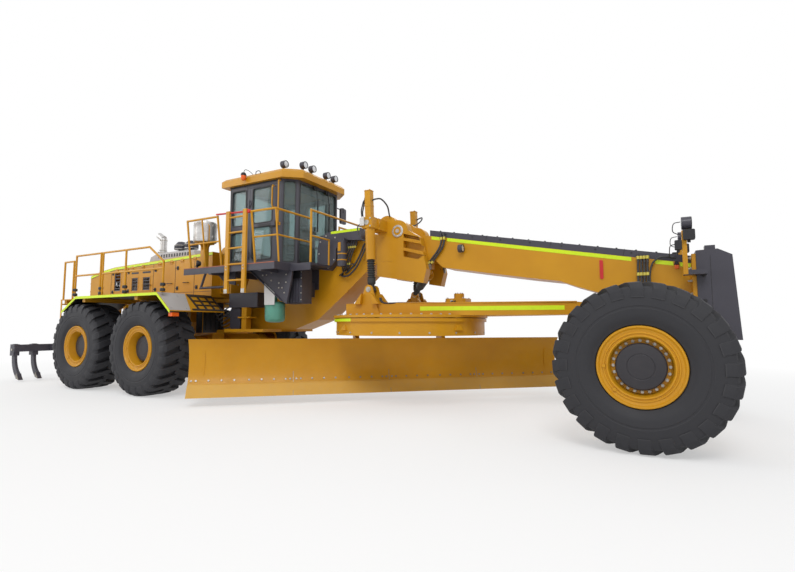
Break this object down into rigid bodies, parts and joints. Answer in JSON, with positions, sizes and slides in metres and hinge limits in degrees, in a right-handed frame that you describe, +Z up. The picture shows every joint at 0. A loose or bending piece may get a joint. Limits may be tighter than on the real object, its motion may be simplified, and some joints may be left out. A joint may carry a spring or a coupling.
{
  "type": "motor grader",
  "caption": "Full-size mining motor grader with a hinged frame, tandem drive wheels, leaning front wheels, cab, turning circle with angled blade, and rear ripper.",
  "frame": {"origin": "on the ground under the middle of the machine's overall length and width", "axes": "+X forward, +Y to the left, +Z up"},
  "size_m": [15.7003, 5.1235, 4.8153],
  "materials": {
    "yellow_paint": "gloss",
    "charcoal_paint": "satin",
    "engine_iron": "rough",
    "worn_steel": "worn",
    "bright_steel": "satin",
    "tyre_rubber": "matte",
    "black_rubber": "matte",
    "cab_trim": "matte",
    "tinted_glass": "polished"
  },
  "bodies": {
    "rear_frame": {"rear_frame": "yellow_paint", "tandem_cases": "yellow_paint", "engine_block": "engine_iron", "hood": "yellow_paint", "hood_cowl": "bright_steel", "service_cabinet": "yellow_paint", "hood_grilles": "charcoal_paint", "fenders": "yellow_paint", "rear_rails": "yellow_paint", "exhaust_stack": "bright_steel", "air_cleaners": "charcoal_paint"},
    "front_frame": {"main_frame": "yellow_paint", "boom_cover": "charcoal_paint", "nose_box": "charcoal_paint", "front_axle": "yellow_paint", "cab_shell": "charcoal_paint", "cab_glass": "tinted_glass", "cab_roof": "yellow_paint", "cab_interior": "cab_trim", "mirror_left": "charcoal_paint", "platforms": "charcoal_paint", "platform_rails": "yellow_paint", "canisters": "bright_steel", "side_fairings": "charcoal_paint", "work_lamps": "charcoal_paint"},
    "drawbar": {"drawbar": "yellow_paint", "circle_motor": "charcoal_paint"},
    "pinion": {"circle_pinion": "worn_steel"},
    "circle": {"circle": "worn_steel"},
    "tilt_frame": {"tilt_frame": "yellow_paint"},
    "blade": {"moldboard": "yellow_paint", "cutting_edge": "worn_steel"},
    "shift_barrel": {"shift_barrel": "yellow_paint"},
    "shift_rod": {"shift_rod": "black_rubber"},
    "ripper_links": {"ripper_links": "charcoal_paint"},
    "ripper_beam": {"ripper_beam": "charcoal_paint"},
    "door_right": {"door_right": "charcoal_paint", "door_glass_right": "tinted_glass"},
    "wheel_rear_right": {"tyre_rear_right": "tyre_rubber", "rim_rear_right": "yellow_paint"},
    "wheel_mid_right": {"tyre_mid_right": "tyre_rubber", "rim_mid_right": "yellow_paint"},
    "lean_right": {"lean_bracket_right": "yellow_paint"},
    "knuckle_right": {"knuckle_right": "yellow_paint"},
    "wheel_front_right": {"tyre_front_right": "tyre_rubber", "rim_front_right": "yellow_paint"},
    "lift_barrel_right": {"lift_barrel_right": "yellow_paint"},
    "lift_rod_right": {"lift_rod_right": "black_rubber"},
    "door_left": {"door_left": "charcoal_paint", "door_glass_left": "tinted_glass"},
    "wheel_rear_left": {"tyre_rear_left": "tyre_rubber", "rim_rear_left": "yellow_paint"},
    "wheel_mid_left": {"tyre_mid_left": "tyre_rubber", "rim_mid_left": "yellow_paint"},
    "lean_left": {"lean_bracket_left": "yellow_paint"},
    "knuckle_left": {"knuckle_left": "yellow_paint"},
    "wheel_front_left": {"tyre_front_left": "tyre_rubber", "rim_front_left": "yellow_paint"},
    "lift_barrel_left": {"lift_barrel_left": "yellow_paint"},
    "lift_rod_left": {"lift_rod_left": "black_rubber"}
  },
  "joints": [
    {"name": "articulation", "type": "hinge", "parent": "rear_frame", "child": "front_frame", "pos_m": [-1.5, 0, 1.6], "axis": [0, 0, -1], "range_deg": [-20, 20]},
    {"name": "door_right", "type": "hinge", "parent": "front_frame", "child": "door_right", "pos_m": [-0.486, -0.914, 3.5], "axis": [0, 0, -1], "range_deg": [0, 50]},
    {"name": "wheel_rear_right_spin", "type": "hinge", "parent": "rear_frame", "child": "wheel_rear_right", "pos_m": [-4.53, -1.765, 0.96], "axis": [0, 1, 0], "continuous": true},
    {"name": "wheel_mid_right_spin", "type": "hinge", "parent": "rear_frame", "child": "wheel_mid_right", "pos_m": [-2.27, -1.765, 0.96], "axis": [0, 1, 0], "continuous": true},
    {"name": "lean_right", "type": "hinge", "parent": "front_frame", "child": "lean_right", "pos_m": [6.77, -1.06, 0.8], "axis": [1, 0, 0], "range_deg": [-18, 18]},
    {"name": "steer_right", "type": "hinge", "parent": "lean_right", "child": "knuckle_right", "pos_m": [6.77, -1.3, 0.96], "axis": [0, 0, 1], "range_deg": [-45, 45]},
    {"name": "wheel_front_right_spin", "type": "hinge", "parent": "knuckle_right", "child": "wheel_front_right", "pos_m": [6.77, -1.765, 0.96], "axis": [0, 1, 0], "continuous": true},
    {"name": "lift_swing_right", "type": "hinge", "parent": "front_frame", "child": "lift_barrel_right", "pos_m": [2.5, -0.9, 3.25], "axis": [0, 1, 0], "range_deg": [-6, 7]},
    {"name": "lift_slide_right", "type": "slide", "parent": "lift_barrel_right", "child": "lift_rod_right", "axis": [-0.0416, 0, 0.9991], "range_m": [-0.5, 0.38]},
    {"name": "door_left", "type": "hinge", "parent": "front_frame", "child": "door_left", "pos_m": [-0.486, 0.914, 3.5], "axis": [0, 0, 1], "range_deg": [0, 50]},
    {"name": "wheel_rear_left_spin", "type": "hinge", "parent": "rear_frame", "child": "wheel_rear_left", "pos_m": [-4.53, 1.765, 0.96], "axis": [0, 1, 0], "continuous": true},
    {"name": "wheel_mid_left_spin", "type": "hinge", "parent": "rear_frame", "child": "wheel_mid_left", "pos_m": [-2.27, 1.765, 0.96], "axis": [0, 1, 0], "continuous": true},
    {"name": "lean_left", "type": "hinge", "parent": "front_frame", "child": "lean_left", "pos_m": [6.77, 1.06, 0.8], "axis": [1, 0, 0], "range_deg": [-18, 18]},
    {"name": "steer_left", "type": "hinge", "parent": "lean_left", "child": "knuckle_left", "pos_m": [6.77, 1.3, 0.96], "axis": [0, 0, 1], "range_deg": [-45, 45]},
    {"name": "wheel_front_left_spin", "type": "hinge", "parent": "knuckle_left", "child": "wheel_front_left", "pos_m": [6.77, 1.765, 0.96], "axis": [0, 1, 0], "continuous": true},
    {"name": "lift_swing_left", "type": "hinge", "parent": "front_frame", "child": "lift_barrel_left", "pos_m": [2.5, 0.9, 3.25], "axis": [0, 1, 0], "range_deg": [-6, 7]},
    {"name": "lift_slide_left", "type": "slide", "parent": "lift_barrel_left", "child": "lift_rod_left", "axis": [-0.0416, 0, 0.9991], "range_m": [-0.5, 0.38]},
    {"name": "drawbar_lift", "type": "hinge", "parent": "front_frame", "child": "drawbar", "pos_m": [6.05, 0, 1.65], "axis": [0, 1, 0], "range_deg": [-8, 4]},
    {"name": "circle_turn", "type": "hinge", "parent": "drawbar", "child": "circle", "pos_m": [2.85, 0, 1.4], "axis": [0, 0, 1], "range_deg": [-7, 103]},
    {"name": "pinion_spin", "type": "hinge", "parent": "drawbar", "child": "pinion", "pos_m": [3.84, 0, 1.4], "axis": [0, 0, 1], "range_deg": [-60, 640]},
    {"name": "blade_tip", "type": "hinge", "parent": "circle", "child": "tilt_frame", "pos_m": [2.42093, 0.47486, 0.42], "axis": [0.742, 0.6704, 0], "range_deg": [-3, 40]},
    {"name": "blade_shift", "type": "slide", "parent": "tilt_frame", "child": "blade", "axis": [0.742, 0.6704, 0], "range_m": [-0.39, 1.01]},
    {"name": "shift_swing", "type": "hinge", "parent": "front_frame", "child": "shift_barrel", "pos_m": [3.354, -0.19, 2.395], "axis": [0.783, 0.617, -0.079], "range_deg": [-22, 17]},
    {"name": "shift_slide", "type": "slide", "parent": "shift_barrel", "child": "shift_rod", "axis": [-0.6251, 0.7295, -0.2777], "range_m": [-0.14, 0.19]},
    {"name": "ripper_lift", "type": "hinge", "parent": "rear_frame", "child": "ripper_links", "pos_m": [-6.71, 0, 0.96], "axis": [0, 1, 0], "range_deg": [-30, 20]},
    {"name": "ripper_level", "type": "hinge", "parent": "ripper_links", "child": "ripper_beam", "pos_m": [-7.36, 0, 0.84], "axis": [0, 1, 0], "range_deg": [-30, 40]}
  ],
  "couplings": [
    {"joint": "lift_swing_right", "follows": "drawbar_lift", "ratio": -0.6},
    {"joint": "lift_slide_right", "follows": "drawbar_lift", "m_per_rad": 3.45},
    {"joint": "lift_swing_left", "follows": "drawbar_lift", "ratio": -0.6},
    {"joint": "lift_slide_left", "follows": "drawbar_lift", "m_per_rad": 3.45},
    {"joint": "lean_left", "follows": "lean_right", "ratio": 1},
    {"joint": "steer_left", "follows": "steer_right", "ratio": 1},
    {"joint": "pinion_spin", "follows": "circle_turn", "ratio": 6},
    {"joint": "shift_swing", "follows": "drawbar_lift", "ratio": 2.6},
    {"joint": "shift_slide", "follows": "drawbar_lift", "m_per_rad": -1.2},
    {"joint": "ripper_level", "follows": "ripper_lift", "ratio": -1}
  ]
}
